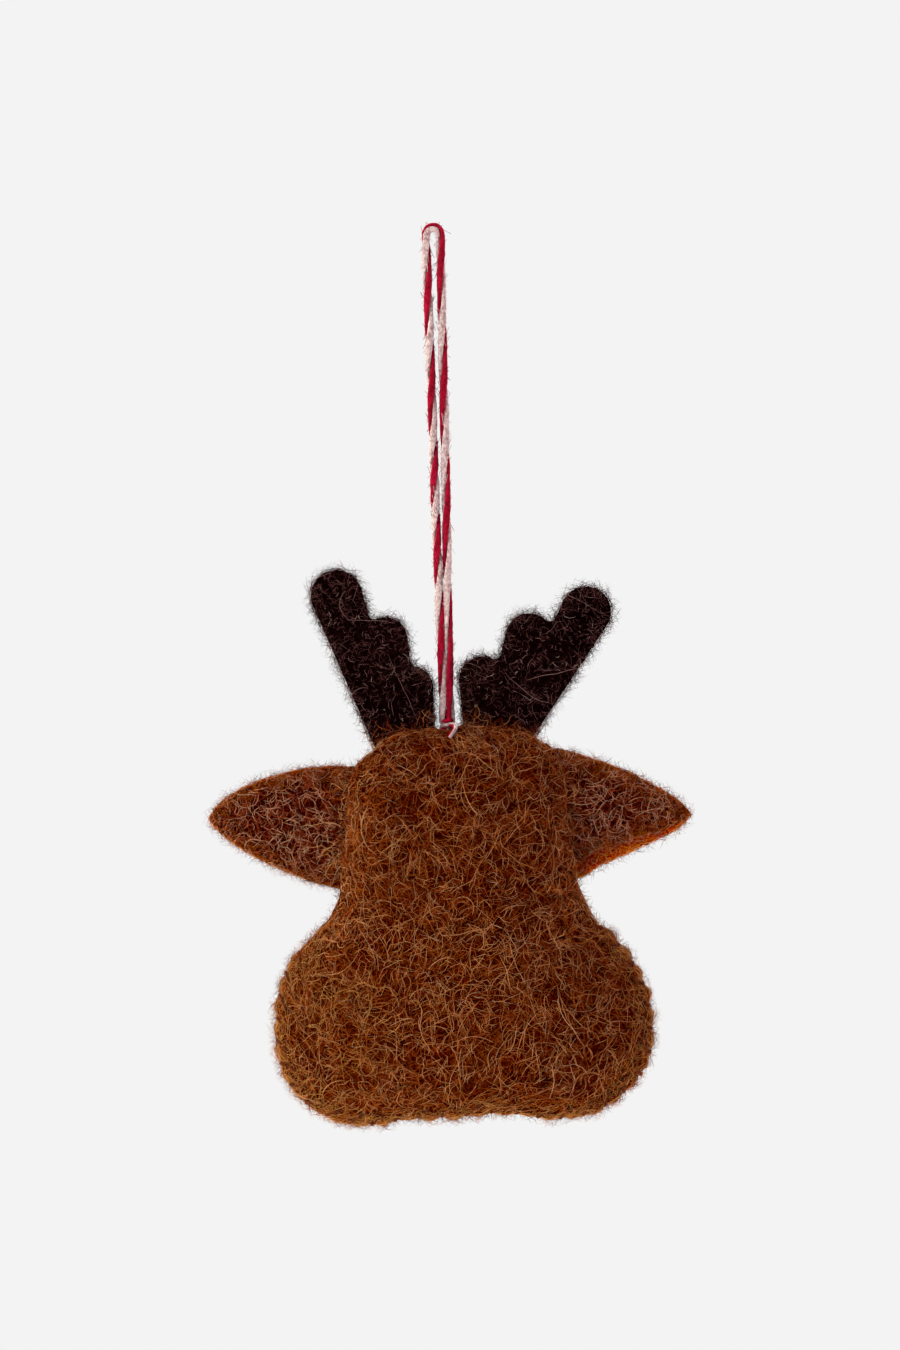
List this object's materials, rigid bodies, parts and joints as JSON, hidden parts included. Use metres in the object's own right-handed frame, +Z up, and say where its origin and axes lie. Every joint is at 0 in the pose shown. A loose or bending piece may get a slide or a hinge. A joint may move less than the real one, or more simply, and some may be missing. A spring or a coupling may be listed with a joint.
{
  "type": "felt christmas ornament",
  "caption": "Stuffed wool-felt deer head with felt ears and antlers sewn into its seam, hung on a loop of twisted two-colour twine, for a tree or a hook.",
  "frame": {"origin": "underside of the cord loop's top bend, the point that hangs on a hook, a pin or a twig", "axes": "+Z up along the cord, -Y the way the face looks, +Y the plain back that the picture shows, +X the animal's left"},
  "size_m": [0.0962, 0.0299, 0.1818],
  "materials": {
    "twine": "soft two-ply cotton twine, crimson and cream",
    "brown_felt": "hairy wool felt, chestnut brown",
    "ear_felt": "hairy wool felt, red-brown",
    "amber_felt": "hairy wool felt, amber",
    "antler_felt": "hairy wool felt, dark brown",
    "nose_felt": "wool felt, near black",
    "thread": "brown sewing thread",
    "wadding": "loose white fibre",
    "bead": "polished black bead"
  },
  "bodies": {
    "hanging_loop": {"hanging_cord": "twine"},
    "knot": {"cord_knot": "twine"},
    "head": {"back_panel": "brown_felt", "front_panel": "brown_felt", "seam_thread": "thread", "stuffing": "wadding", "cord_end_left": "twine", "cord_end_right": "twine", "left_eye": "bead", "right_eye": "bead", "nose": "nose_felt"},
    "ear_left": {"left_ear_back": "ear_felt", "left_ear_front": "amber_felt"},
    "ear_right": {"right_ear_back": "ear_felt", "right_ear_front": "amber_felt"},
    "antler_left": {"left_antler": "antler_felt"},
    "antler_right": {"right_antler": "antler_felt"}
  },
  "joints": [
    {"name": "loop_twist", "type": "hinge", "parent": "hanging_loop", "child": "knot", "pos_m": [0, 0, -0.0992], "axis": [0, 0, 1], "range_deg": [-180, 180]},
    {"name": "head_nod", "type": "hinge", "parent": "knot", "child": "head", "pos_m": [0, 0, -0.0992], "axis": [1, 0, 0], "range_deg": [-55, 55]},
    {"name": "left_ear_flex", "type": "hinge", "parent": "head", "child": "ear_left", "pos_m": [0.02112, 0, -0.11868], "axis": [-0.1666, 0, 0.986], "range_deg": [-20, 20], "stiffness_Nm_per_rad": 0.003},
    {"name": "right_ear_flex", "type": "hinge", "parent": "head", "child": "ear_right", "pos_m": [-0.02288, 0, -0.11706], "axis": [-0.2172, 0, -0.9761], "range_deg": [-20, 20], "stiffness_Nm_per_rad": 0.003},
    {"name": "left_antler_flex", "type": "hinge", "parent": "head", "child": "antler_left", "pos_m": [0.00865, 0, -0.10059], "axis": [0.9705, 0, -0.2413], "range_deg": [-15, 15], "stiffness_Nm_per_rad": 0.004},
    {"name": "right_antler_flex", "type": "hinge", "parent": "head", "child": "antler_right", "pos_m": [-0.01008, 0, -0.1003], "axis": [0.9812, 0, 0.1929], "range_deg": [-15, 15], "stiffness_Nm_per_rad": 0.004}
  ]
}
